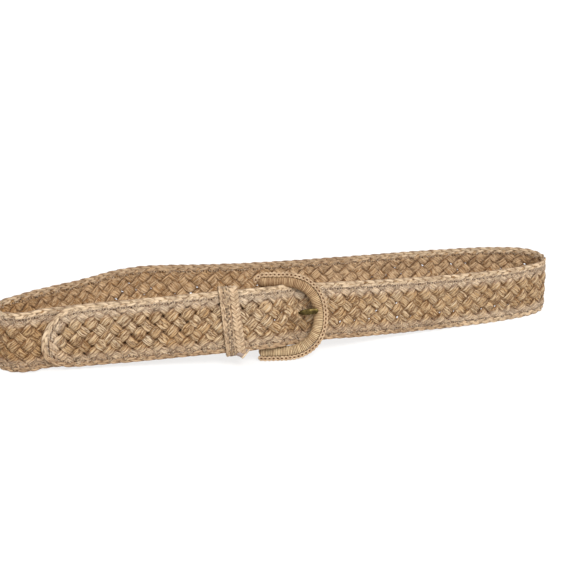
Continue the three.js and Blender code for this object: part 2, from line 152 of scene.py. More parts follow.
def layStrap():
    # places along the strap, from the turned-back end to the tip of the free end
    steps, pitch, radius = strap["stepsPerRow"], strap["layerPitch"], strap["bendRadius"]
    middle, up, half = standUp(refineRows([(*row, strap["freeEndWidth"]) for row in overlapRows]))
    normal = outwardNormals(middle, up)
    length = lengthAlong(middle)

    hidden = middle - pitch * normal
    centre = hidden[0] - radius * normal[0]
    angles = np.linspace(0, pi, strap["bendSteps"] + 1)[1:-1, None]
    bend = centre - np.cos(angles) * radius * normal[0] - np.sin(angles) * radius * heading(middle)[0]

    back = np.arange((strap["foldBackRows"] - 1) * steps, -1, -1)
    spread = (2 * radius - pitch) * ease(clipped(1 - back / (strap["closeRows"] * steps)))
    turned = middle[back] - (2 * pitch + spread)[:, None] * normal[back]

    firstWidths, lastWidths = strap["leftWidths"], strap["windowWidths"]
    plainRows = len(loopRows) - len(firstWidths) - len(lastWidths)
    widths = firstWidths + [strap["width"]] * plainRows + lastWidths
    lean = overlapRows[-1][3]
    lift = hidden[-1][2] - 0.5 * widths[0] * cos(radians(lean))
    rows = [(hidden[-1][0], hidden[-1][1], lift, lean, widths[0])]
    rows += [(*row, width) for row, width in zip(loopRows, widths)]
    rows.append((*overlapRows[0], strap["freeEndWidth"]))
    loopMiddle, loopUp, loopHalf = standUp(refineRows(rows))

    parts = [
        (turned, up[back], 0.5 * hiddenWidths(length[back])),
        (bend, np.repeat(up[:1], len(bend), 0), np.full(len(bend), 0.5 * strap["foldWidth"])),
        (hidden, up, 0.5 * hiddenWidths(length)),
        (loopMiddle[1:-1], loopUp[1:-1], loopHalf[1:-1]),
        (middle, up, half),
    ]
    return centre, np.cumsum([len(part[0]) for part in parts]), *map(np.concatenate, zip(*parts))


barCentre, partEnds, middles, ups, halves = layStrap()
barBox = np.array(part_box("heel_bar"))
shift = barBox.mean(axis=0) / mm - barCentre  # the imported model's origin against the tables above
barCentre = barCentre + shift
middles = middles + shift
normals = outwardNormals(middles, ups)
along = lengthAlong(middles)
strapLength = along[-1]
loopStart, freeStart = along[partEnds[2:4]]
noseStart = strapLength - strap["noseLength"]
lowerReach = 12.0  # mm below the middle line over which the lower edge's differences grow
print(f"strap laid: {strapLength:.0f} mm long")


def onStrap(s, t, n):
    # length along, height over the middle line and distance out of the surface, in millimetres
    up, normal = (unit(readAt(s, along, column)) for column in (ups, normals))
    return readAt(s, along, middles) + up * t[..., None] + normal * n[..., None]


def edgeDistance(s, t):
    # how far a place lies inside the strap's outline
    half = readAt(s, along, halves)
    x = np.clip((s - noseStart) / strap["noseLength"], 0, None)
    y = (t + strap["noseDrop"] * x ** 2) / half
    return half * (1 - np.sqrt(x ** 2 + y ** 2))


def keepInside(s, t, margin):
    # pulls places that lie too near the outline back under the edge braid
    for _ in range(2):
        slopeS = (edgeDistance(s + 0.1, t) - edgeDistance(s - 0.1, t)) / 0.2
        slopeT = (edgeDistance(s, t + 0.1) - edgeDistance(s, t - 0.1)) / 0.2
        lacking = np.clip(margin - edgeDistance(s, t), 0, None)
        s = s + slopeS * lacking
        t = t + slopeT * lacking
    return s, t


# What changes along the strap: places in mm from the loop's start, then from the free end's, and the values
changes = {
    "period": ((0, 120), (-470, -330, -60, 20), (11.7, 12.1, 12.1, 12.7, 12.7, 11.7)),  # mm between blocks
    "waist": ((135, 175), (0, 40), (0.2, 0.76, 0.76, 1.4)),  # the layers behind the free end show no gaps
    # raises or lowers the tone: painted shade round the loop's left end, painted light in the window behind
    # the buckle
    "paintedShadeAndLight": ((-60, -15, 40, 80), (-10, 5, 30, 45), (0, 0.45, 0.45, 0.07, 0.07, -0.26, -0.26, 0)),
    # painted light on the inner faces of the loop's back
    "insidePaintedLight": ((40, 110), (-500, -440, -300, -240), (0, 0.78, 0.78, 1.1, 1.1, 0)),
    "braidDarker": ((60, 110), (-450, -380), (0, 0.45, 0.45, 0)),
    "rightBend": ((), (-330, -280, -200, -140), (0, 1, 1, 0)),  # round the right bend the lower edge gets no painted shade and is as pale as the upper one
}


def changing(name, s):
    fromLoop, fromFree, values = changes[name]
    return np.interp(s, [loopStart + m for m in fromLoop] + [freeStart + m for m in fromFree], values)


def fullTurn(sides):
    return np.linspace(0, 2 * pi, sides, endpoint=False)


class Strands:
    # collects tubes of rings and their values, and joins them into one mesh
    def __init__(self):
        self.points, self.faces, self.caps, self.uvs = [], [], [], []
        self.values = {}
        self.count = 0

    def add(self, rings, uAlong, vAround, closed=False, wound=False, **values):
        # rings is (rings, sides, 3) in millimetres; vAround is the length to each side, or only the whole one
        ringCount, sides = rings.shape[:2]
        if np.ndim(vAround) == 0:
            vAround = np.linspace(0, vAround, sides + 1)
        i = np.arange(ringCount if closed else ringCount - 1)[:, None]
        k = np.arange(sides)
        following, beside = (i + 1) % ringCount, (k + 1) % sides
        quads = [i * sides + k, i * sides + beside, following * sides + beside, following * sides + k]
        self.faces.append(np.stack(quads, -1).reshape(-1, 4) + self.count)
        stepped = np.append(uAlong, 2 * uAlong[-1] - uAlong[-2])
        uv = [(stepped[i + a] + 0 * k, vAround[k + b] + 0 * i) for a, b in ((0, 0), (0, 1), (1, 1), (1, 0))]
        uv = np.stack([np.stack(corner, -1) for corner in uv], 2).reshape(-1, 2)
        self.uvs.append(uv[:, ::-1] if wound else uv)
        if not closed:
            cap = np.arange(sides) + self.count
            self.caps += [cap[::-1], cap + (ringCount - 1) * sides]
        self.points.append(rings.reshape(-1, 3))
        for name, value in values.items():
            spread = np.broadcast_to(np.asarray(value, float), (ringCount, sides)).ravel()
            self.values.setdefault(name, []).append(spread)
        self.count += ringCount * sides

    def build(self, name, material, slotName, *nodes):
        mesh = bpy.data.meshes.new(name)
        faces = np.concatenate(self.faces).tolist() + [cap.tolist() for cap in self.caps]
        mesh.from_pydata(np.concatenate(self.points) * mm, [], faces)
        flat = np.zeros((len(mesh.loops), 2), np.float32)
        flat[:4 * (len(faces) - len(self.caps))] = np.concatenate(self.uvs)
        mesh.uv_layers.new(name="strand").uv.foreach_set("vector", flat.ravel())
        for key, value in self.values.items():
            attribute = mesh.attributes.new(key, "FLOAT", "POINT")
            attribute.data.foreach_set("value", np.concatenate(value).astype(np.float32))
        mesh.shade_smooth()
        mesh.materials.append(material)
        piece = bpy.data.objects.new(name, mesh)
        bpy.context.collection.objects.link(piece)
        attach(piece, "root")
        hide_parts(*nodes)
        print(f"{name}: {len(mesh.loops) - 2 * len(mesh.polygons)} triangles")


def colour(code):
    # sRGB hex to linear
    parts = [int(code[i:i + 2], 16) / 255 for i in (1, 3, 5)]
    linear = [c / 12.92 if c <= 0.04045 else ((c + 0.055) / 1.055) ** 2.4 for c in parts]
    return (*linear, 1.0)


def setStops(elements, stops):
    # a new ramp has two stops
    for _ in stops[2:]:
        elements.new(1.0)
    for element, (position, code) in zip(elements, stops):
        element.position = position
        element.color = colour(code)


def feed(node, inputs):
    # each input as a value or as a socket to link from
    for key, value in inputs.items():
        if isinstance(value, bpy.types.NodeSocket):
            node.id_data.links.new(value, node.inputs[key])
        else:
            node.inputs[key].default_value = value


def addNode(tree, kind, settings, inputs, output=0):
    # one node with its settings and links; gives back one of its outputs
    node = tree.nodes.new("ShaderNode" + kind)
    for key, value in settings.items():
        if key == "stops":
            setStops(node.color_ramp.elements, value)
        else:
            setattr(node, key, value)
    feed(node, inputs)
    return node.outputs[output]


def newMaterial(name):
    material = bpy.data.materials.new(name)
    material.use_nodes = True
    material.node_tree.nodes.clear()
    add = partial(addNode, material.node_tree)
    shader = add("BsdfPrincipled", {}, {})
    feed(material.node_tree.nodes.new("ShaderNodeOutputMaterial"), {"Surface": shader})
    return material, add, shader.node


raffia = {
    "plaitShades": ["#7b5127", "#aa8557", "#c3a67f", "#d6c4a7"],  # shaded, dull, usual and sunlit leaf
    "braidShades": ["#8f704f", "#bb9d7b", "#d8bf9e", "#decbb0"],
    "boundShades": ["#795a3a", "#a18360", "#bc9f77", "#d8c198"],
    # the crease and hole colours are painted shade
    "shadeStops": (0.12, 0.42, 0.66, 1.0), "crease": "#5e3108", "creaseShadeDepth": 0.9, "hole": "#30190b",
    "insideBounceTint": "#c58c45",  # painted warm bounce light on the inner faces
    "insideBounceShare": 0.4,
    "fibreWidth": 0.55,  # mm, drawn about twice as coarse as one fibre of a torn palm leaf
    "fibreLength": 13.0,
    "foldWidth": 1.15,  # mm between the small folds of a gathered strand
    "foldLength": 12.0, "foldLine": 0.06, "holePitch": 2.0, "holeRadius": 0.66,
    "holeRow": 5.5,  # mm in from the edge
    "zoneTint": "#dac4ab",
    "zoneFrom": (2.6, 3.6),  # mm in from the edge, where the stitched zone begins and where it ends
    "zoneTo": (8.5, 13.0), "speckleSize": 0.9, "bump": 0.0006,
}

times, timesPlus = {"operation": "MULTIPLY"}, {"operation": "MULTIPLY_ADD"}
smooth = {"interpolation_type": "SMOOTHSTEP"}


def driedRaffia(name, shades, lift, grain, stitched=False):
    # gathered strips of dried palm leaf: dry, faintly waxy, straw tones with long fibres, the folds darkened
    # by painted shade
    material, add, shader = newMaterial(name)
    uv = add("UVMap", {"uv_map": "strand"}, {})
    stored = ["tone", "crease"] + ["edge", "place", "tinted", "pierced", "inside"] * stitched
    strand = {key: add("Attribute", {"attribute_name": key}, {}, "Fac") for key in stored}

    def streaks(width, length, detail):
        # noise drawn out along the strand
        scaled = add("Mapping", {}, {"Vector": uv, "Scale": (1 / length, 1 / width, 1)})
        links = {"Vector": scaled, "W": strand["tone"], "Scale": 1.0, "Detail": detail, "Roughness": 0.6}
        return add("TexNoise", {"noise_dimensions": "4D"}, links)

    def weighed(total, *parts):
        # a sum in which each socket has its weight
        for socket, weight in parts:
            total = add("Math", timesPlus, {0: socket, 1: weight, 2: total})
        return total

    fibres = streaks(raffia["fibreWidth"], raffia["fibreLength"], 3.0)
    folds = streaks(raffia["foldWidth"], raffia["foldLength"], 2.0)
    offLine = add("Math", {"operation": "ABSOLUTE"}, {0: weighed(-0.5, (folds, 1.0))})
    reach = {"Value": offLine, "From Max": raffia["foldLine"], "To Min": 1.0, "To Max": 0.0}
    foldLines = add("MapRange", smooth, reach)

    lift += 0.42 - 0.825 * grain
    whole = weighed(lift, (strand["tone"], 0.35), (folds, 0.3 * grain), (fibres, 1.35 * grain))
    surface = add("ValToRGB", {"stops": list(zip(raffia["shadeStops"], shades))}, {"Fac": whole})
    height = weighed(0.0, (fibres, 0.9 * grain), (foldLines, -1.1 * grain))
    # painted shade along the small folds
    coats = [(foldLines, 0.8 * grain, raffia["crease"])]

    if stitched:
        # the zone under the stitches is greyer and speckled, with an uneven row of needle holes, each a dent
        # with painted shade in it
        edge, place = strand["edge"], strand["place"]
        spot = add("CombineXYZ", {}, {"X": place, "Y": edge})
        speckles = add("TexNoise", {}, {"Vector": spot, "Scale": 1 / raffia["speckleSize"], "Detail": 2.0})
        zone = strand["tinted"]
        ranges = [(edge, *raffia["zoneFrom"], 0.0, 1.0), (edge, *raffia["zoneTo"], 1.0, 0.0),
                  (speckles, 0.38, 0.62, 0.25, 0.75)]
        for value, low, high, start, stop in ranges:
            links = {"Value": value, "From Min": low, "From Max": high, "To Min": start, "To Max": stop}
            zone = add("Math", times, {0: zone, 1: add("MapRange", smooth, links)})
        coats.append((zone, 1.0, raffia["zoneTint"]))
        # painted warm bounce light on the inner faces
        coats.append((strand["inside"], raffia["insideBounceShare"], raffia["insideBounceTint"]))

        pitch = raffia["holePitch"]
        cells = add("Math", times, {0: place, 1: 1 / pitch})
        cell = add("Math", {"operation": "FLOOR"}, {0: cells})
        inCell = add("Math", {"operation": "FRACT"}, {0: cells})
        draws = add("TexWhiteNoise", {"noise_dimensions": "1D"}, {"W": cell}, "Color")
        drawn = add("SeparateXYZ", {}, {"Vector": draws}).node.outputs
        across = weighed(-0.75 * pitch, (inCell, pitch), (drawn[0], 0.5 * pitch))
        down = weighed(-raffia["holeRow"] - 0.4, (edge, 1.0), (drawn[1], 0.8))
        away = weighed(0.0, (across, across), (down, down))
        reach = {"Value": away, "From Max": raffia["holeRadius"] ** 2 * 2.2, "To Min": 1.0, "To Max": 0.0}
        hole = add("Math", times, {0: add("MapRange", smooth, reach), 1: weighed(0.3, (drawn[2], 0.7))})
        hole = add("Math", times, {0: hole, 1: strand["pierced"]})
        # painted shade in each needle hole
        coats.append((hole, 1.0, raffia["hole"]))
        height = weighed(height, (hole, -3.0))

    # painted shade that the meshes carry: in creases, along strand borders, where strands dive or lie
    # covered, between the winding's turns and in the trim's eyes
    coats.append((strand["crease"], raffia["creaseShadeDepth"], raffia["crease"]))
    for shape, strength, code in coats:
        share = add("Math", times, {0: shape, 1: strength})
        surface = add("Mix", {"data_type": "RGBA"}, {"Factor": share, 6: surface, 7: colour(code)}, 2)
    feed(shader, {
        "Base Color": surface,
        "Normal": add("Bump", {}, {"Strength": 0.9, "Distance": raffia["bump"], "Height": height}),
        "Roughness": add("MapRange", {}, {"Value": fibres, "To Min": 0.5, "To Max": 0.75}),
        "Specular IOR Level": 0.3,
    })
    return material


def polyesterThread(name):
    # spun polyester sewing thread: greyed mauve, soft dull gloss
    material, add, shader = newMaterial(name)
    tone = add("Attribute", {"attribute_name": "tone"}, {}, "Fac")
    stops = [(0.0, "#b89c80"), (0.5, "#cfb69a"), (1.0, "#e6d5bd")]
    shade = add("ValToRGB", {"stops": stops}, {"Fac": tone})
    feed(shader, {"Base Color": shade, "Roughness": 0.55})
    return material


def agedBrass(name):
    # antique-plated brass: brown-green patina, the metal showing where it rubs
    material, add, shader = newMaterial(name)
    place = add("TexCoord", {}, {}, "Object")
    wear = add("Attribute", {"attribute_name": "wear"}, {}, "Fac")
    patches = add("TexNoise", {}, {"Vector": place, "Scale": 300.0, "Detail": 4.0})
    worn = add("Math", {**timesPlus, "use_clamp": True}, {0: patches, 1: 1.5, 2: -0.65})
    worn = add("Math", {"operation": "ADD", "use_clamp": True}, {0: worn, 1: wear})
    stops = [(0.0, "#3a2f1a"), (0.4, "#6b5c35"), (1.0, "#b3a36c")]
    feed(shader, {
        "Base Color": add("ValToRGB", {"stops": stops}, {"Fac": worn}),
        "Metallic": 1.0,
        "Roughness": add("MapRange", {}, {"Value": worn, "To Min": 0.55, "To Max": 0.34}),
        "Normal": add("Bump", {}, {"Strength": 0.3, "Distance": 0.0001, "Height": patches}),
    })
    return material


plainRaffia = driedRaffia("dried_raffia_plait", raffia["plaitShades"], 0.05, 1.0, True)
braidRaffia = driedRaffia("dried_raffia_braid", raffia["braidShades"], 0.05, 0.5)
boundRaffia = driedRaffia("wound_raffia_thread", raffia["boundShades"], 0.0, 0.4)
crochetRaffia = driedRaffia("crocheted_raffia_thread", raffia["braidShades"], -0.16, 0.4)
thread = polyesterThread("polyester_thread")
brass = agedBrass("aged_brass")

# Buckle: sizes in millimetres in its own frame, x across the opening, y into the loop, z along the bar
buckle = {
    "turn": -9.0, "lean": 18.0, "halfHeight": 25.8, "straight": 13.8, "reach": 26.6,
    "fullness": 2.25, "endLength": 4.9, "endRounding": 3.2, "width": 7.2, "thickness": 5.5,
    "section": 2.05, "sides": 22, "wrapPitch": 1.25, "wrapRise": 0.3, "wrapSlant": 0.25, "inset": 0.12,
    "lowerArmPaintedLight": 0.5,  # painted light: the lower arm against the middle; then the front against the bar, and the outer rim against the inner
    "frontPaintedLight": 0.3, "outerPaintedLight": 0.2,
}

turnOnly = Matrix.Rotation(radians(buckle["turn"]), 3, "Z")
turnMatrix = np.array(turnOnly @ Matrix.Rotation(-radians(buckle["lean"]), 3, "X"))


def onBuckle(points):
    return np.asarray(points) @ turnMatrix.T + barCentre


prong = {
    "width": 4.4, "thickness": 2.0, "section": 2.6, "sides": 20, "barRadius": 1.6, "gap": 0.3,
    "height": 4.2, "short": 0.4, "tipLength": 6.0, "tipRounding": 2.6, "bendFrom": 0.7,
    "bendTo": 0.78,
    "askew": 1.7,  # how much lower it lies at the bar than at its tip
    "askewLength": 16.0, "neck": 0.3, "neckFrom": 24.5, "neckTo": 31.0,
}
prong["rise"] = 0.5 * (buckle["thickness"] + prong["thickness"]) + prong["gap"]

# The plait rides up over the prong and drops again where the prong comes out; millimetres from the bar
hump = {
    "from": 13.5, "slope": 0.85, "height": 7.2, "to": 26.4,
    "toAside": 1.1,  # it ends further out beside the prong
    "drop": 2.2,
    "reach": 8.5,  # how far to either side of the prong
    "fade": 6.5,
    "behind": 9.0,  # the layers further back stay flat
}

# Plait: two families of flat strands, one a little wider, that cross over and under.
# A strand's waist is how much it is squeezed where it dives.
plait = {
    "rowHeight": 5.55,  # mm between rows of blocks
    "under": 2.0,  # how far inside the outline the strands end, under the edge braid
    "margin": 1.3,
    "wide": {"lean": -1, "offset": 0.0, "width": 1.17, "waist": 0.17, "thick": 1.8, "wave": 1.18},
    "narrow": {"lean": 1, "offset": 0.5, "width": 0.96, "waist": 0.14, "thick": 1.6, "wave": 0.7},
    "turnFrom": 10.5,  # mm from the middle; beyond it the strands turn along the edge
    "turnLength": 9.0, "turnRows": 0.7,
    "pressFrom": 3.5,  # mm from the edge; nearer it the stitches press the strands flat and wide
    "pressLength": 4.5, "pressed": 0.45, "pressedWider": 0.12, "body": (3.6, 0.52),
    "swell": (0.85, 1.15),  # lowest and highest, from block to block
    "drift": (-0.6, 0.6), "lifted": (-0.08, 0.1), "waists": (0.4, 1.7), "ribDepths": (0.6, 1.25),
    "ribDepth": 0.52, "ribs": 5.5, "ribTwist": 0.3,
    "backWall": (110, -400),  # mm from the loop's start and the free end's
    "lowRow": -1.5, "lowRowReach": 3.0, "lowRowMore": 1.8, "elsewhereLess": 0.45,
    "shading": (0.55, 0.52, 0.42),  # painted shade in the creases, where a strand dives, and along its borders
    "columns": 15, "stepsPerRow": 6,
    "backShare": 0.56,  # of the loop, up to the right bend
}


def plaitScale():
    # cumulative count of blocks along the strap, from periods that change slowly
    s = np.linspace(-40, strapLength + 40, 2400)
    period = changing("period", s)
    return s, summed(np.diff(s) / (0.5 * (period[1:] + period[:-1]))), period


scaleS, scaleBlocks, scalePeriod = plaitScale()


def rowsUp(t):
    # rows of blocks from the middle to a height; they close up where the strands turn along the edge
    past = np.clip(abs(t) - plait["turnFrom"], 0, None) / plait["turnLength"]
    return t / plait["rowHeight"] + np.sign(t) * plait["turnRows"] * past ** 2


def wander(at, count, low, high):
    # a random value for each block, eased from one to the next
    values = chance.uniform(low, high, count)
    i = np.clip(np.floor(at).astype(int), 0, count - 2)
    f = ease(clipped(at - i))
    return values[i] * (1 - f) + values[i + 1] * f


def ribField(v, at, count):
    # creases along a strand, nought on a ridge and one in a valley, that wander from block to block
    twist = wander(at * 1.5, int(1.5 * count) + 2, -plait["ribTwist"], plait["ribTwist"])
    ribs = plait["ribs"] * chance.uniform(0.85, 1.15)
    place = (v + twist[:, None]) * ribs / 2 + chance.random()
    return (1 - abs(np.sin(pi * place))) ** 1.2


def nearBorder(v):
    # nought over most of a strand's width, and one at its borders
    return clipped((abs(v) - 0.8) / 0.2)


def overProng(points):
    x, y, z = np.moveaxis((points - barCentre) @ turnMatrix, -1, 0)
    off = abs(z - prong["height"] + prong["askew"])
    ends = hump["to"] + hump["toAside"] * np.clip(off, 0, 3)
    rise = np.clip(hump["slope"] * (x - hump["from"]), 0, hump["height"])
    rise = rise * clipped((ends - x) / hump["drop"]) * (y < hump["behind"])
    rise = rise * ease(clipped((hump["reach"] - off) / hump["fade"]))
    return points - rise[..., None] * turnMatrix[:, 1]


def lowerEdgeShade(s, t, height, atBend):
    # one at the lower edge, where painted shade darkens the strap, but not round the right bend
    return clipped(-t / height) * (1 - atBend * changing("rightBend", s))


def waistShare(s, t):
    # the back wall's pinholes lie mostly in one row
    low, high = plait["backWall"]
    onBackWall = loopStart + low < s.mean() < freeStart + high
    row = np.exp(-((t - plait["lowRow"]) / plait["lowRowReach"]) ** 2)
    more = plait["lowRowMore"] * row - plait["elsewhereLess"]
    return changing("waist", s.mean()) * (1 + onBackWall * more)


def plaitStrand(family, index, batch, sLow, sHigh):
    kind = plait[family]
    reach = 0.5 * strap["freeEndWidth"]
    t = np.arange(-reach, reach + 0.01, plait["rowHeight"] / plait["stepsPerRow"])
    rows = rowsUp(t)
    s = np.interp(index + kind["offset"] + kind["lean"] * 0.5 * rows, scaleBlocks, scaleS)
    kept = np.flatnonzero((edgeDistance(s, t) > plait["under"]) & (s > 0.5))
    if len(kept) < 6:
        return
    t, s, rows = (column[kept[0]:kept[-1] + 1] for column in (t, s, rows))
    if not sLow <= s.mean() < sHigh:
        return
    period = np.interp(s, scaleS, scalePeriod)
    pitch = period / np.hypot(1, 0.5 * period * np.gradient(rows, t))
    phase = np.cos(pi * (rows - 0.5)) * kind["lean"]  # one on a crest, minus one where it passes under

    count = int(2 * reach / plait["rowHeight"]) + 6
    at = rows - 0.5 + 0.5 * count
    varied = partial(wander, at, count + 1)
    swell, drift, lifted = (varied(*plait[key]) for key in ("swell", "drift", "lifted"))
    press = ease(clipped((edgeDistance(s, t) - plait["pressFrom"]) / plait["pressLength"]))
    press = plait["pressed"] + (1 - plait["pressed"]) * press
    height = (kind["wave"] * np.sign(phase) * abs(phase) ** 0.6 + lifted) * press
    spread = 1 + plait["pressedWider"] * (1 - press)
    waist = kind["waist"] * waistShare(s, t) * varied(*plait["waists"])
    squeeze = 1 - waist * (1 - abs(phase) ** 1.2) * press
    halfWidth = 0.5 * pitch * kind["width"] * swell * spread * squeeze
    halfThick = 0.5 * kind["thick"] * (0.72 + 0.32 * abs(phase)) * (0.6 + 0.4 * press)

    # ring: outer face from one side to the other, then the inner face back
    columns = plait["columns"]
    across = np.sin(np.linspace(-0.5, 0.5, columns) * pi * 0.92) / sin(0.46 * pi)
    faces = (across, across[::-1][1:-1])
    v = np.concatenate(faces)
    isTop = np.where(np.arange(len(v)) < columns, 1.0, -1.0)
    dips = np.concatenate([ribField(face, at, count) for face in faces], 1)
    dips[:, [0, columns - 1]] = 0
    body = (1 - abs(v) ** plait["body"][0]) ** plait["body"][1]
    depth = plait["ribDepth"] * varied(*plait["ribDepths"]) * (0.4 + 0.6 * press)
    out = isTop * (body * halfThick[:, None] - dips * depth[:, None] * body ** 0.5)

    length = np.hypot(np.gradient(s), np.gradient(t))
    side = v * halfWidth[:, None] + drift[:, None]
    ringS = s[:, None] + (np.gradient(t) / length)[:, None] * side
    ringT = t[:, None] - (np.gradient(s) / length)[:, None] * side
    ringS, ringT = keepInside(ringS, ringT, plait["margin"])
    rings = overProng(onStrap(ringS, ringT, height[:, None] + out))
    u = summed(length[1:])
    around = summed(np.hypot(np.diff(v, append=v[0]) * halfWidth.mean(), 0.02))

    # painted shade where a strand dives, along its borders and in its creases
    diveShade = clipped((0.32 - isTop * phase[:, None]) / 0.6)
    shades = zip(plait["shading"], (dips, diveShade, nearBorder(v)))
    # painted shade along the lower edge: a lower tone and a fainter stitched zone
    low = lowerEdgeShade(s, t, lowerReach, 0.9)[:, None]
    inside = np.where(isTop < 0, 1.0, 0.0) * np.ones_like(s)[:, None]
    tone = np.clip(0.5 + 0.1 * chance.standard_normal(), 0.05, 0.95)
    tones = tone + varied(-0.12, 0.12)[:, None] - 0.24 * low ** 2
    values = {
        # the tone takes the painted shade and light along the strap, and the painted light on the inner faces
        "tone": tones - changing("paintedShadeAndLight", s)[:, None] + changing("insidePaintedLight", s)[:, None] * inside,
        "crease": clipped(sum(share * shade for share, shade in shades)),
        "edge": edgeDistance(ringS, ringT) + stitches["lowerShift"] * clipped(-ringT / lowerReach),
        "place": ringS,
        "tinted": (1 - 0.3 * low) * (1 - 0.85 * inside),  # the inside hardly shows the stitched zone
        "pierced": 0.85 - 0.15 * low,
        "inside": inside,
    }
    if kind["lean"] < 0:
        rings = rings[:, ::-1]
        values = {key: value[:, ::-1] for key, value in values.items()}
    batch.add(rings, u + 100 * chance.random(), around, **values)


def plaitPiece(name, sLow, sHigh):
    batch = Strands()
    first = int(np.interp(sLow, scaleS, scaleBlocks)) - 4
    last = int(np.interp(sHigh, scaleS, scaleBlocks)) + 5
    for family in ("wide", "narrow"):
        for index in range(first, last):
            plaitStrand(family, index, batch, sLow, sHigh)
    batch.build(name, plainRaffia, "plaited_raffia", "strap_panel")


# Stitches: zigzags of thread between two lines, with mm from the edge to each, the pitch, and the face
stitches = {
    "threadRadius": 0.15, "sides": 4, "height": 0.95,
    "lowerShift": 1.3,  # mm that the rows along the lower edge lie nearer to it
    "lowerFlatter": 0.35, "dive": 0.55,
    "rows": {
        "edge_stitches": (4.3, 6.0, 2.1, 1),
        "edge_stitches_second": (6.2, 9.0, 2.6, 1),
        "edge_stitches_inside": (4.3, 6.6, 2.1, -1),
    },
}

rightBend = loopStart + plait["backShare"] * (freeStart - loopStart)
plaitPiece("plait_fold", -50, loopStart)
plaitPiece("plait_back_wall", loopStart, rightBend)
plaitPiece("plait_front_wall", rightBend, freeStart)
plaitPiece("plait_free_end", freeStart, strapLength + 50)
print("plait done")

# Edge braid: three strands along both edges and round the nose
edging = {
    "width": 5.2,
    "turn": 25.0,  # mm for one strand to cross over and come back
    "swing": 1.25,
    "dwell": 1.6,  # how long a strand stays at each side
    "rise": 0.6, "wide": 2.85, "thick": 1.5,
    "lowerShift": 0.6,  # mm that the braid along the lower edge lies nearer to it
    "lowerSize": 0.8,  # and its share of the width
    # the first value is the painted shade along the lower edge
    "lowerPaintedShade": 0.85, "step": 1.2, "noseRound": 75.0, "sides": 12, "ribs": 5, "ribDepth": 0.16,
}


def edgeRoute(inset, step, lowerShift):
    # length and height on the strap: top edge, round the nose, lower edge
    straight = np.arange(0.6, noseStart, step)
    half = readAt(straight, along, halves)
    noseHalf = readAt(noseStart, along, halves) - inset
    angles = np.linspace(0, pi, int(edging["noseRound"] / step))
    lower = lowerShift * angles / pi
    nose = np.stack([
        noseStart + (strap["noseLength"] - inset + lower) * np.sin(angles),
        (noseHalf + lower) * np.cos(angles) - strap["noseDrop"] * np.sin(angles) ** 2,
    ], 1)
    top = np.stack([straight, half - inset], 1)
    low = np.stack([straight, inset - lowerShift - half], 1)[::-1]
    return np.concatenate([top, nose, low])


def routeFrame(route):
    points = onStrap(route[:, 0], route[:, 1], 0 * route[:, 0])
    normal = unit(readAt(route[:, 0], along, normals))
    return points, unit(np.cross(heading(points), normal)), normal, lengthAlong(points)


def ribbedSection():
    # a rounded section with shallow creases, as unit offsets along width and thickness, and where it gets
    # painted shade
    angles = fullTurn(edging["sides"])
    crease = 0.5 + 0.5 * np.cos(edging["ribs"] * angles)
    paintedShade = clipped(0.2 * crease + 0.66 * nearBorder(np.cos(angles)))
    return np.stack([np.cos(angles), np.sin(angles)], 1) * (1 - edging["ribDepth"] * crease)[:, None], paintedShade


section, sectionShade = ribbedSection()


def strandRings(centre, run, normal, spec, fat=1.0):
    # the ribbed section carried along a strand
    across = unit(np.cross(run, normal))
    outward = unit(np.cross(across, run))
    size = 0.5 * np.array([spec["wide"], spec["thick"]]) * np.asarray(fat)[..., None, None]
    offsets = section * size
    return centre[:, None] + across[:, None] * offsets[..., :1] + outward[:, None] * offsets[..., 1:]


def strandShade(phase):
    # painted shade along a strand's borders and on the face that another strand covers
    facing = np.sin(fullTurn(edging["sides"]))
    under = clipped(-np.sin(2 * phase)[:, None] * np.sign(facing) * 1.3 + 0.1)
    return clipped(sectionShade + 0.66 * under * abs(facing))


def edgeBraid():
    # three strands that swing from side to side and pass over each other
    batch = Strands()
    spec = edging
    route = edgeRoute(0.5 * spec["width"], spec["step"], spec["lowerShift"])
    points, side, normal, length = routeFrame(route)
    # painted shade along the lower edge
    low = lowerEdgeShade(route[:, 0], route[:, 1], 20, 0.8)
    tone = 0.5 - spec["lowerPaintedShade"] * low - changing("braidDarker", route[:, 0])
    size = 1 - (1 - spec["lowerSize"]) * low
    around = pi * 0.5 * (spec["wide"] + spec["thick"])

    def uneven(spacing, most):
        marks = np.arange(0, length[-1] + 2 * spacing, spacing)
        return np.interp(length, marks, chance.uniform(-most, most, len(marks)))

    for k in range(3):
        phase = 2 * pi * (length / spec["turn"] + k / 3)
        sway = np.tanh(spec["dwell"] * np.sin(phase)) / tanh(spec["dwell"])
        sway = size * spec["swing"] * sway + uneven(20, 0.15)
        lift = spec["rise"] * np.sin(2 * phase)
        centre = points + side * sway[:, None] + normal * lift[:, None]
        rings = strandRings(centre, heading(centre), normal, spec, size * (1 + 0.06 * np.sin(2 * phase + 1)))
        batch.add(rings, length, around, tone=(tone + uneven(30, 0.1))[:, None], crease=strandShade(phase))
    batch.build("edge_braid_strands", braidRaffia, "braided_raffia", "edge_braid")


edgeBraid()
print("edge braid done")


def tubeRings(points, across, other, radius, sides):
    # a round tube along a line, on two directions square to it
    angles = fullTurn(sides)[None, :, None]
    return points[:, None] + radius * (np.cos(angles) * across[:, None] - np.sin(angles) * other[:, None])


def threadTube(batch, points, tone):
    run = heading(points)
    helper = np.where(abs(run[:, 2:]) > 0.9, [1.0, 0, 0], [0, 0, 1.0])
    across = unit(np.cross(run, helper))
    radius, sides = stitches["threadRadius"], stitches["sides"]
    rings = tubeRings(points, across, np.cross(run, across), radius, sides)
    batch.add(rings, lengthAlong(points), 2 * pi * radius, tone=tone[:, None])


def zigzag(start, stop, pitch, parts):
    # stitch marks, places along the seam, the share of the way across, and how far each place is from a hole
    marks = np.arange(start, stop, pitch)
    turn = np.arange(parts * (len(marks) - 1)) / parts
    return marks, marks[0] + turn * pitch, abs(turn % 2 - 1), abs(np.sin(pi * turn))


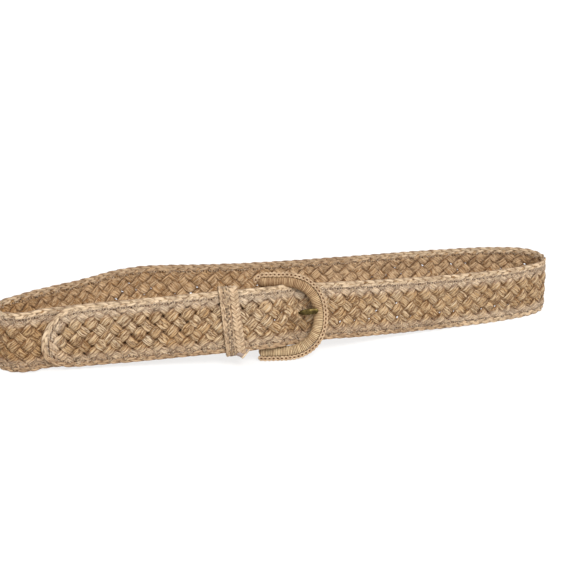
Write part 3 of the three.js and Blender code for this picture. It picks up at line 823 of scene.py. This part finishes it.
def zigzagStitches(name, outer, inner, pitch, face):
    # in and out of the plait at each turn
    batch = Strands()
    fine = edgeRoute(0.5 * (outer + inner), 0.5, stitches["lowerShift"])
    length = routeFrame(fine)[3]
    half = 0.5 * pitch
    marks, places, wave, dip = zigzag(half * (1 + chance.random()), length[-1] - half, half, 3)
    route = readAt(places, length, fine)
    points, side, normal, _ = routeFrame(route)
    above = stitches["height"] - stitches["lowerFlatter"] * clipped(-route[:, 1] / lowerReach)
    depth = face * (above - stitches["dive"] * (1 - dip) ** 2 + 0.12 * chance.standard_normal(len(places)))
    sway = (wave - 0.5) * (inner - outer) + 0.32 * chance.standard_normal(len(places))
    points = points + side * sway[:, None] + normal * depth[:, None]
    threadTube(batch, points, np.repeat(chance.uniform(0.15, 0.85, len(marks)), 3)[:len(places)])
    batch.build(name, thread, "braided_raffia", "strap_panel")


for name, row in stitches["rows"].items():
    zigzagStitches(name, *row)
print("stitches done")


def archLine(offset, steps=120):
    # line round the D at a distance outside its middle line, from the top end to the lower end
    half = buckle["halfHeight"] + offset
    angle = (0.5 - np.arange(steps + 1) / steps) * pi
    bulge = 2 / buckle["fullness"]
    u = buckle["straight"] + (buckle["reach"] + offset) * abs(np.cos(angle)) ** bulge
    v = half * abs(np.sin(angle)) ** bulge * np.sign(np.sin(angle))
    straight = np.stack([np.linspace(0, buckle["straight"], 12)[:-1], np.full(11, half)], 1)
    return np.concatenate([straight, np.stack([u, v], 1), straight[::-1] * [1, -1]])


def evenly(line, step):
    # the same line with points an even step apart
    length = lengthAlong(line)
    at = np.linspace(0, length[-1], max(int(round(length[-1] / step)), 2) + 1)
    return readAt(at, length, line), at


def fullSection(spec):
    # a section between an oval and a rectangle, as unit offsets along width and thickness
    angles = fullTurn(spec["sides"])
    return [abs(w) ** (2 / spec["section"]) * np.sign(w) for w in (np.cos(angles), np.sin(angles))]


def sideways(run):
    return np.stack([-run[:, 1], run[:, 0]], 1)


def boundFrame():
    # the D's wire under a winding of fine raffia thread, each turn a small ridge
    line = archLine(0)
    end = -buckle["endLength"]
    line = np.concatenate([[[end, line[0, 1]]], line, [[end, line[-1, 1]]]])
    line, length = evenly(line, buckle["wrapPitch"] / 6)
    slant = buckle["wrapSlant"] * np.sin(fullTurn(buckle["sides"]))
    turnAt = length[:, None] / buckle["wrapPitch"] + slant
    which = np.floor(turnAt).astype(int) - int(np.floor(turnAt.min()))
    uneven = chance.uniform(0.6, 1.2, which.max() + 2)
    tones = np.clip(0.6 + 0.16 * chance.standard_normal(which.max() + 2), 0.1, 1.1)
    ridge = abs(np.sin(pi * turnAt))
    rise = buckle["wrapRise"] * ridge ** 0.7 * uneven[which]
    dome = clipped(np.minimum(length, length[-1] - length) / buckle["endRounding"])
    dome = (np.sqrt(1 - (1 - dome) ** 2) * 0.97 + 0.03)[:, None]
    a, b = fullSection(buckle)
    rise = rise - buckle["inset"]
    across = a * (0.5 * buckle["width"] + rise) * dome
    through = b * (0.5 * buckle["thickness"] + rise) * dome
    flat = line[:, None] + sideways(heading(line))[:, None] * across[..., None]
    rings = onBuckle(np.stack([flat[..., 0], through, flat[..., 1]], -1))
    # painted shade between the winding's turns
    turnShade = clipped(1.6 * (1 - ridge)) ** 1.5 * np.clip(uneven[which], 0.6, 1.0)
    # painted light and shade: lower arm lighter and upper one darker, lighter towards the arch, outer rim
    # lighter than inner
    tone = tones[which] - buckle["lowerArmPaintedLight"] * line[:, 1:] / buckle["halfHeight"]
    tone = tone + buckle["frontPaintedLight"] * line[:, :1] / line[:, 0].max() + buckle["outerPaintedLight"] * a
    batch = Strands()
    batch.add(rings, length, 20, wound=True, tone=tone, crease=turnShade)
    batch.build("bound_frame", boundRaffia, "bound_raffia", "buckle_frame")


# Trim: a crocheted edging, two rails of thread joined by short bars with an eye between each two, dark with
# painted shade
trim = {
    "gap": 0.3, "width": 3.4, "pitch": 3.1, "railRadius": 0.63,
    "bow": 0.14,  # how far the rails bow out between two bars
    "barWidth": 1.75, "barThick": 1.0,
    "forward": 0.35,  # how far the rails lie in front of the strip's middle
    "curl": (175, 146, 117, 88),
    "lowCurl": (126, 107, 88),  # the lower end is left bare
    "curlCentre": -1.2, "stepsPerPitch": 8, "sides": 10,
    "strip": [(1, 0.4), (0.6, 1), (-0.6, 1), (-1, 0.4), (-1, -0.4), (-0.6, -1), (0.6, -1), (1, -0.4)],
}


def trimLine():
    offset = 0.5 * buckle["width"] + trim["gap"] + 0.5 * trim["width"]

    def curlPoints(degrees):
        turns = np.radians(degrees)
        across = trim["curlCentre"] + offset * np.cos(turns)
        return np.stack([across, buckle["halfHeight"] + offset * np.sin(turns)], 1)

    low = curlPoints(trim["lowCurl"])[::-1] * [1, -1]
    line = np.concatenate([curlPoints(trim["curl"]), archLine(offset), low])
    total = evenly(line, 0.5)[1][-1]
    pitch = total / int(round(total / trim["pitch"]))
    line, length = evenly(line, pitch / trim["stepsPerPitch"])
    return line, sideways(heading(line)), length, pitch


def onTrim(middle, aside, across, through):
    # middle and aside are rows in the D's own plane; across and through are (rows, sides)
    flat = middle[:, None] + aside[:, None] * across[..., None]
    return onBuckle(np.stack([flat[..., 0], np.broadcast_to(through, across.shape), flat[..., 1]], -1))


def chainTrim():
    line, aside, length, pitch = trimLine()
    batch = Strands()
    angles = fullTurn(trim["sides"])
    beat = np.cos(2 * pi * length / pitch)
    radius = trim["railRadius"]
    reach = 0.5 * trim["width"] - radius
    for hand in (1, -1):
        off = hand * (reach - trim["bow"] * beat) + 0.05 * chance.standard_normal(len(line))
        fat = radius * (1 - 0.12 * beat)
        rings = onTrim(line, aside, off[:, None] + fat[:, None] * np.cos(angles),
                       -trim["forward"] - fat[:, None] * np.sin(angles))
        tones = 0.6 + 0.2 * np.interp(length, length[::5], chance.standard_normal(len(length[::5])) * 0.5)
        # painted shade on the rails where the bars cross them
        paintedShade = 0.45 * clipped(beat) ** 6
        batch.add(rings, length, 4, tone=tones[:, None], crease=paintedShade[:, None])
    lies = np.linspace(-reach, reach, 6)
    across = np.repeat(0.5 * trim["barWidth"] * np.cos(angles)[None, :], len(lies), 0)
    through = 0.1 - trim["forward"] - 0.5 * trim["barThick"] * np.sin(angles)
    for k in range(0, len(line), trim["stepsPerPitch"]):
        run = np.repeat([[aside[k][1], -aside[k][0]]], len(lies), 0)
        rings = onTrim(line[k] + aside[k] * lies[:, None], run, across, through)[:, ::-1]
        tone = np.clip(0.6 + 0.12 * chance.standard_normal(), 0.2, 1)
        batch.add(rings, lies + 10 * k, 4, tone=tone, crease=0.0)
    profile = np.array(trim["strip"])
    across = np.repeat(profile[None, :, 0] * (reach + 0.6) - 0.3, len(line), 0)
    rings = onTrim(line, aside, across, 0.45 + 0.35 * profile[None, :, 1])
    paintedShade = np.where(profile[:, 1] < 0, 1.0, 0.25)  # painted shade in the eyes, plain from behind
    batch.add(rings, length, 7, tone=0.3, crease=paintedShade)
    batch.build("chain_trim", crochetRaffia, "bound_raffia", "frame_trim")


boundFrame()
chainTrim()
print("buckle done")


def prongTongue():
    # flat forged tongue with rounded edges, a rounded tip and a coiled eye
    spec = prong
    reach = buckle["straight"] + buckle["reach"] - spec["short"]
    tipStart = reach - spec["tipLength"]
    knots = [(0, 0), (spec["bendFrom"] * reach, 0), (spec["bendTo"] * reach, -spec["rise"]),
             (tipStart, -spec["rise"])]
    f = np.linspace(0.08, 1, 34)[:, None]
    curve = sum(n * (1 - f) ** (3 - k) * f ** k * np.array(knots[k]) for k, n in enumerate((1, 3, 3, 1)))
    tip = np.stack([np.linspace(tipStart, reach, 16)[1:], np.full(15, -spec["rise"])], 1)
    line = np.concatenate([curve, tip])
    fromTip = reach - line[:, 0]
    rounded = np.sqrt(np.clip(1 - (1 - clipped(fromTip / spec["tipRounding"])) ** 2, 0.004, 1))
    grown = clipped((line[:, 0] - spec["neckFrom"]) / (spec["neckTo"] - spec["neckFrom"]))
    grown = spec["neck"] + (1 - spec["neck"]) * np.sin(0.5 * pi * grown)
    halfWidth = 0.5 * spec["width"] * rounded * grown
    halfThick = 0.5 * spec["thickness"] * (0.55 + 0.45 * rounded)
    a, b = fullSection(spec)
    flat = line[:, None] - sideways(heading(line))[:, None] * (b * halfThick[:, None])[..., None]
    tilt = spec["askew"] * clipped(fromTip / spec["askewLength"])
    z = (spec["height"] - tilt)[:, None] + a * halfWidth[:, None]
    rings = onBuckle(np.concatenate([flat, z[..., None]], -1))
    batch = Strands()
    batch.add(rings, lengthAlong(line), 9, wear=(abs(a) * abs(b)) ** 3 * 0.5)
    eyeRadius = spec["barRadius"] + spec["gap"] + 0.5 * spec["thickness"]
    turn = np.linspace(0.05 * pi, 1.97 * pi, 48)
    outward = np.stack([np.cos(turn), np.sin(turn)], 1)
    flat = outward[:, None] * (eyeRadius + b * 0.5 * spec["thickness"])[None, :, None]
    z = np.broadcast_to(spec["height"] + a * 0.5 * spec["width"], flat.shape[:2])
    rings = onBuckle(np.concatenate([flat, z[..., None]], -1))[:, ::-1]
    batch.add(rings, turn * eyeRadius, 9, wear=0.1)
    batch.build("prong_tongue", brass, "aged_brass", "prong")


prongTongue()
print("prong done")

# Keeper: two braids side by side in a loop round the layers, sewn together with zigzag stitches
keeper = {
    "fromBar": 26.0, "thickness": 2.2, "strapThickness": 3.0, "corner": 2.4, "cornerSteps": 8,
    "slant": 6.2, "play": 1.7, "drop": 0.5, "skew": -4.0, "skewLength": 8.0, "gap": 0.3,
    "step": 0.9,
    # at is measured from the keeper's middle, away from the buckle
    "keeper_rope": {"at": 6.2, "swing": 0.5, "rise": 0.35, "wide": 1.5, "thick": 1.4, "turns": 12},
    "keeper_flat": {"at": 2.5, "swing": 1.8, "rise": 0.3, "wide": 3.4, "thick": 1.1, "turns": 7},
    "keeper_braid": {"at": -3.8, "swing": 2.35, "rise": 0.6, "wide": 2.9, "thick": 1.6, "turns": 13},
    "seams": ((-2.0, 0.2, 1.3), (-3.6, -1.4, 1.5), (-5.3, -2.9, 1.4)),  # from, to and pitch of each zigzag
}
keeperPlace = np.array([freeStart + keeper["fromBar"]])
keeperUp, keeperOut = (unit(readAt(keeperPlace, along, column))[0] for column in (ups, normals))
keeperAside = np.cross(keeperUp, keeperOut)
slope = tan(radians(keeper["slant"]))


def roundTrip(line):
    return unit(np.roll(line, -1, 0) - np.roll(line, 1, 0))


def keeperBand():
    # a smooth closed line of heights and depths round the layers, and its directions
    spec, pitch = keeper, strap["layerPitch"]
    half = readAt(keeperPlace, along, halves)[0]
    clear = 0.5 * (spec["strapThickness"] + spec["thickness"]) + spec["gap"]
    outer = pitch + clear - spec["corner"]
    inner = -pitch - clear - spec["play"] + spec["corner"]
    top = half + 0.5 * spec["thickness"] + spec["gap"] - spec["corner"]
    low = -top - spec["drop"]
    turn = np.radians(90 * np.arange(spec["cornerSteps"] + 1) / spec["cornerSteps"])
    line = []
    for t, n, start in ((top, inner, 180), (top, outer, 90), (low, outer, 0), (low, inner, -90)):
        angles = radians(start) - turn
        line += list(zip(t + spec["corner"] * np.sin(angles), n + spec["corner"] * np.cos(angles)))
    line, length = evenly(np.array(line + line[:1]), spec["step"])
    line, length = line[:-1], length[:-1]
    t, n = line[:, :1], line[:, 1:]
    centre = onStrap(keeperPlace, np.zeros(1), np.full(1, -pitch)) + keeperUp * t + keeperOut * n
    centre = centre - keeperAside * slope * t
    skewed = np.clip((0.5 * spec["skewLength"] - t - half) / spec["skewLength"], 0, None)
    across = keeperAside - keeperUp * tan(radians(spec["skew"])) * skewed
    step = np.roll(line, -1, 0) - np.roll(line, 1, 0)
    out = unit(np.cross(keeperAside, keeperUp * step[:, :1] + keeperOut * step[:, 1:]))
    return centre, across, out, length


keeperCentre, keeperAcross, keeperNormal, keeperLength = keeperBand()


def keeperBraid(name):
    spec = keeper[name]
    count = len(keeperCentre)
    flat = name == "keeper_flat"
    batch = Strands()
    for k in range(3):
        phase = 2 * pi * (np.arange(count) / count * spec["turns"] + k / 3)
        sway = -(spec["at"] + spec["swing"] * np.sin(phase))[:, None]
        lift = spec["rise"] * np.sin(2 * phase)[:, None]
        middle = keeperCentre + keeperAcross * sway + keeperNormal * lift
        rings = strandRings(middle, roundTrip(middle), keeperNormal, spec)
        tones = 0.22 + 0.08 * np.sin(phase * 0.5 + k) + 0.05 * chance.standard_normal()
        values = {"tone": tones[:, None], "crease": strandShade(phase) * (0.5 if flat else 0.9)}
        if flat:
            # two columns of needle holes, one each side of the row's middle
            aside = sway + spec["at"] + 0.5 * spec["wide"] * section[None, :, 0]
            values["edge"] = raffia["holeRow"] + 0.3 + abs(aside) - 1.3
            values["place"] = keeperLength[:, None] + 1.2 * np.sign(aside)
            values |= {"tinted": 0.67, "pierced": 0.76, "inside": 0.0}
        batch.add(rings, keeperLength, 6.3, True, **values)
    batch.build(name, plainRaffia if flat else braidRaffia, "braided_raffia", "keeper")


def keeperStitches():
    batch = Strands()
    for low, high, pitch in keeper["seams"]:
        marks, places, wave, dip = zigzag(chance.random(), keeperLength[-1] - pitch, pitch, 4)
        at = low + (high - low) * wave + 0.3 * chance.standard_normal(len(places))
        height = 1.0 - 0.5 * (1 - dip) ** 2 + 0.1 * chance.standard_normal(len(places))
        bands = (keeperCentre, keeperAcross, keeperNormal)
        centre, across, out = (readAt(places, keeperLength, band) for band in bands)
        tones = np.repeat(chance.uniform(0.0, 0.9, len(marks)), 4)[:len(places)]
        threadTube(batch, centre + across * at[:, None] + out * height[:, None], tones)
    batch.build("keeper_stitches", thread, "braided_raffia", "keeper")


# the loop's turned-under end, out at the lower corner nearest the buckle; places are across and up, in mm
underside = {
    "rim": ((3.6, -27.2), (11.2, -20.4)), "fold": ((-0.6, -24.4), (7.4, -19.6)),
    "front": 0.7,  # how far it lies over the braids at the near end
    "back": -5.0,
    "tuck": 1.8,  # how far its very end is tucked in
    "foldDeeper": 0.4, "thickness": 0.5, "rimRadius": (0.85, 0.5), "steps": 13,
}


def shadedUndersideFace(name):
    # the turned-under end's face: fine cross ribs, matt greyed mauve that is painted shade
    material, add, shader = newMaterial(name)
    uv = add("UVMap", {"uv_map": "strand"}, {})
    ribs = add("TexWave", {"bands_direction": "X"}, {
        "Vector": uv, "Scale": 0.32, "Distortion": 0.4,  # a rib each millimetre, drawn about twice as coarse
    }, "Fac")
    feed(shader, {
        "Base Color": add("ValToRGB", {"stops": [(0.0, "#7d6b62"), (1.0, "#9a8a82")]}, {"Fac": ribs}),
        "Normal": add("Bump", {}, {"Strength": 0.4, "Distance": 0.0001, "Height": ribs}),
        "Roughness": 0.7,
    })
    return material


def keeperUnderside():
    spec = underside
    above = 0.5 * keeper["strapThickness"] + keeper["gap"] + keeper["thickness"]
    face = onStrap(keeperPlace, np.zeros(1), np.full(1, above))[0]
    share = np.linspace(0, 1, spec["steps"])
    depth = spec["front"] + (spec["back"] - spec["front"]) * share ** 2
    depth = depth - spec["tuck"] * clipped(1 - share / 0.25) ** 2

    def edgeLine(ends, deeper=0.0):
        across, height = readAt(share, [0, 1], np.array(ends)).T[..., None]
        out = (depth - deeper)[:, None]
        return face + keeperAside * (across - slope * height) + keeperUp * height + keeperOut * out

    rim, fold = edgeLine(spec["rim"]), edgeLine(spec["fold"], spec["foldDeeper"])
    over = np.linspace(0, 1, 8)
    outer = rim[:, None] + (fold - rim)[:, None] * over[None, :, None]
    rings = np.concatenate([outer, outer[:, ::-1] - keeperOut * spec["thickness"]], 1)
    length = np.linspace(0, np.linalg.norm(rim[-1] - rim[0]), len(share))
    batch = Strands()
    # its face is grey with painted shade
    batch.add(rings[:, ::-1], length, 14)
    batch.build("keeper_underside", shadedUndersideFace("underside_painted_shade"), "braided_raffia", "keeper")
    batch = Strands()
    radius = np.interp(share, [0, 1], spec["rimRadius"])[:, None, None]
    across = unit(np.cross(heading(rim), keeperOut))
    rings = tubeRings(rim, across, np.repeat(keeperOut[None], len(rim), 0), radius, 10)
    batch.add(rings, length, 4, tone=0.75, crease=0.0)
    batch.build("keeper_rim", braidRaffia, "braided_raffia", "keeper")


for name in ("keeper_rope", "keeper_flat", "keeper_braid"):
    keeperBraid(name)
keeperStitches()
keeperUnderside()
print("keeper done")


def steelWire():
    # plain drawn steel wire, dull grey
    material, add, shader = newMaterial("steel_wire")
    place = add("TexCoord", {}, {}, "Object")
    grain = add("TexNoise", {}, {"Vector": place, "Scale": 900.0, "Detail": 3.0})
    shade = add("ValToRGB", {"stops": [(0.3, "#6f6c66"), (0.7, "#8f8c85")]}, {"Fac": grain})
    feed(shader, {"Base Color": shade, "Metallic": 1.0, "Roughness": 0.4})
    return material


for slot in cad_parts["heel_bar"].material_slots:
    slot.material = steelWire()

# Floor, light and camera
studio = {
    "floor": "#908f8d",
    "floorSize": 30.0, "world": 0.8, "glow": 0.7,
    # azimuth from the front towards the right, elevation, softness in degrees, and strength
    "key_sun": (14, 47, 30, 2.2), "fill_sun": (-35, 60, 50, 0.5),
}
white = (1.0, 1.0, 1.0, 1.0)


def paleFloor():
    # opal acrylic lit from below: even and nearly white
    material, add, shader = newMaterial("lit_opal_acrylic")
    feed(shader, {
        "Base Color": colour(studio["floor"]), "Roughness": 0.9,
        "Emission Color": white, "Emission Strength": studio["glow"],
    })
    size = studio["floorSize"]
    mesh = bpy.data.meshes.new("floor")
    corners = [(-size, -size, 0), (size, -size, 0), (size, size, 0), (-size, size, 0)]
    mesh.from_pydata(corners, [], [(0, 1, 2, 3)])
    mesh.materials.append(material)
    floor = bpy.data.objects.new("floor", mesh)
    bpy.context.collection.objects.link(floor)


def sunLight(name):
    azimuth, elevation, softness, strength = studio[name]
    light = bpy.data.lights.new(name, "SUN")
    light.angle = radians(softness)
    light.energy = strength
    lamp = bpy.data.objects.new(name, light)
    bpy.context.collection.objects.link(lamp)
    lamp.rotation_euler = (radians(90 - elevation), 0, radians(azimuth))


def lightStudio():
    world = bpy.data.worlds.new("white_studio")
    world.use_nodes = True
    feed(world.node_tree.nodes["Background"], {0: white, 1: studio["world"]})
    bpy.context.scene.world = world
    sunLight("key_sun")
    sunLight("fill_sun")
    bpy.context.scene.view_settings.view_transform = "Standard"


view = {
    "yaw": 16.0, "elevation": 23.0, "roll": 1.5, "distance": 1.008,
    "target": (0.0, 0.0, 22.0),  # mm, in the tables' own place
    "focalPixels": 1300.0, "framePixels": 580.0, "dropPixels": 20.0, "sensor": 36.0,
}


def placeCamera():
    camera = bpy.data.cameras.new("camera")
    camera.sensor_width = view["sensor"]
    camera.lens = view["sensor"] * view["focalPixels"] / view["framePixels"]
    camera.shift_y = view["dropPixels"] / view["framePixels"]
    camera.clip_start, camera.clip_end = 0.01, 50
    holder = bpy.data.objects.new("camera", camera)
    bpy.context.collection.objects.link(holder)
    turns = (("Z", -view["yaw"]), ("X", 90 - view["elevation"]), ("Z", view["roll"]))
    turn = Matrix()
    for axis, angle in turns:
        turn = turn @ Matrix.Rotation(radians(angle), 4, axis)
    target = (np.array(view["target"]) + shift) * mm
    holder.matrix_world = Matrix.Translation(target) @ turn @ Matrix.Translation((0, 0, view["distance"]))
    bpy.context.scene.camera = holder


paleFloor()
lightStudio()
placeCamera()
print("studio done")
